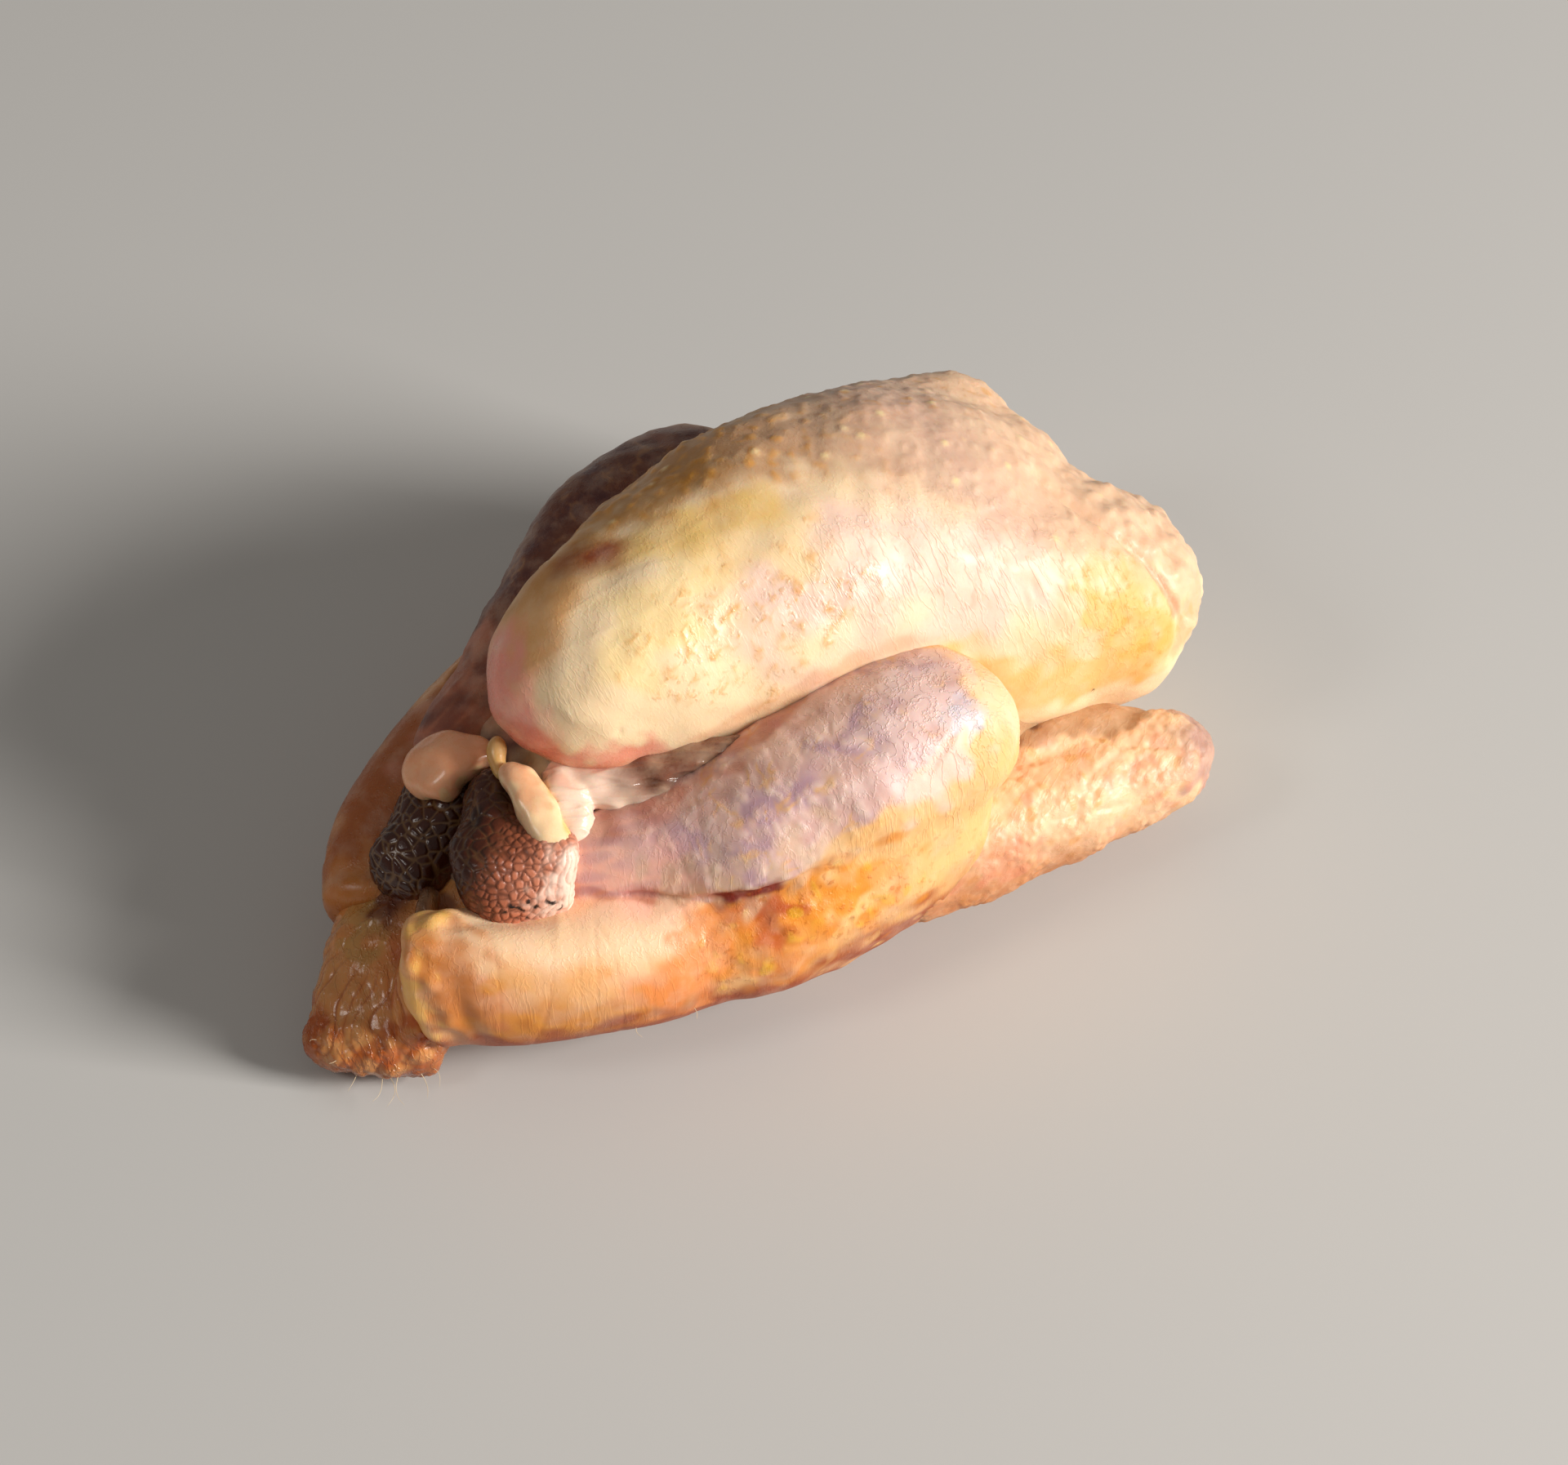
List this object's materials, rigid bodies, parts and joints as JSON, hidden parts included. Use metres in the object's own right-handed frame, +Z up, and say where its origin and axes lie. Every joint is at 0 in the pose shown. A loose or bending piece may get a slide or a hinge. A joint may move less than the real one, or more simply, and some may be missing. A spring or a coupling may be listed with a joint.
{
  "type": "whole raw guinea fowl",
  "caption": "Plucked oven-ready game bird lying on its back: rounded breast, folded legs with scaled hock stubs, folded wings, flank flaps and a broad tail, in pale yellow skin.",
  "frame": {"origin": "middle of the box round the bird, on the plane it rests on", "axes": "+X from the tail to the neck end, +Y to the bird's own left side, +Z up from the back to the breast"},
  "size_m": [0.2502, 0.142, 0.1096],
  "materials": {
    "raw_skin": "satin"
  },
  "bodies": {
    "root": {"guinea_fowl": "raw_skin"}
  },
  "joints": []
}
